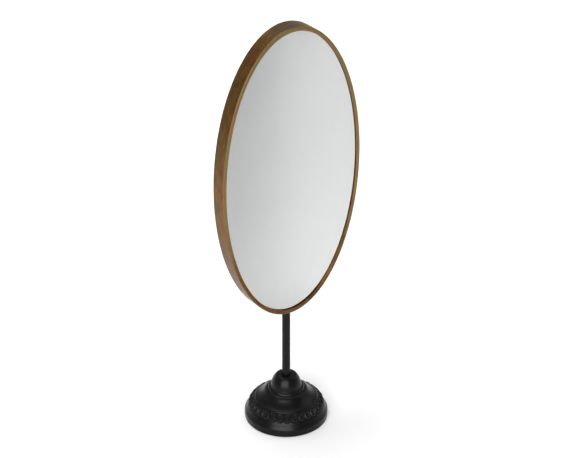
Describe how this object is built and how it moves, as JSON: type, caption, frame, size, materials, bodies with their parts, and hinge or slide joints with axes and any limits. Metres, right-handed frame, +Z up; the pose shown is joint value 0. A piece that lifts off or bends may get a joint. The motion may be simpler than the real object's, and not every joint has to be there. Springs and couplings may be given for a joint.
{
  "type": "countertop mirror",
  "caption": "Oval countertop mirror in a deep metal band frame, on a slim round stem that turns in a moulded bell-shaped cast base.",
  "frame": {"origin": "centre of the base's resting plane, on the stem's axis", "axes": "+Z up along the stem, -Y the way the glass faces at rest, +X along the oval's width"},
  "size_m": [0.2364, 0.123, 0.635],
  "materials": {
    "cast_base": "satin black paint over a cast surface",
    "stem": "satin black paint",
    "frame": "dark antique brass, rubbed brighter at the lip",
    "mirror": "silvered float glass",
    "gasket": "matt black",
    "foam": "matt white foam",
    "board": "black-stained hardboard",
    "tabs": "bright zinc plate",
    "fastener": "zinc plated",
    "nylon": "natural nylon",
    "felt": "black felt"
  },
  "bodies": {
    "base": {"base_casting": "cast_base", "felt_foot_ring": "felt", "thrust_washer": "nylon", "friction_washer": "nylon"},
    "head": {"stem_rod": "stem", "swivel_flat_washer": "fastener", "swivel_disc_spring": "fastener", "swivel_lock_nut": "fastener", "lock_nut_insert": "nylon", "oval_frame": "frame", "glazing_gasket": "gasket", "mirror_glass": "mirror", "bedding_foam": "foam", "backing_board": "board", "setting_blocks": "gasket", "retaining_tabs": "tabs", "saddle_plate": "tabs", "head_washer": "fastener", "head_lock_washer": "fastener", "head_nut": "fastener"}
  },
  "joints": [
    {"name": "mirror_swivel", "type": "hinge", "parent": "base", "child": "head", "pos_m": [0, 0, 0.0375], "axis": [0, 0, 1], "continuous": true}
  ]
}
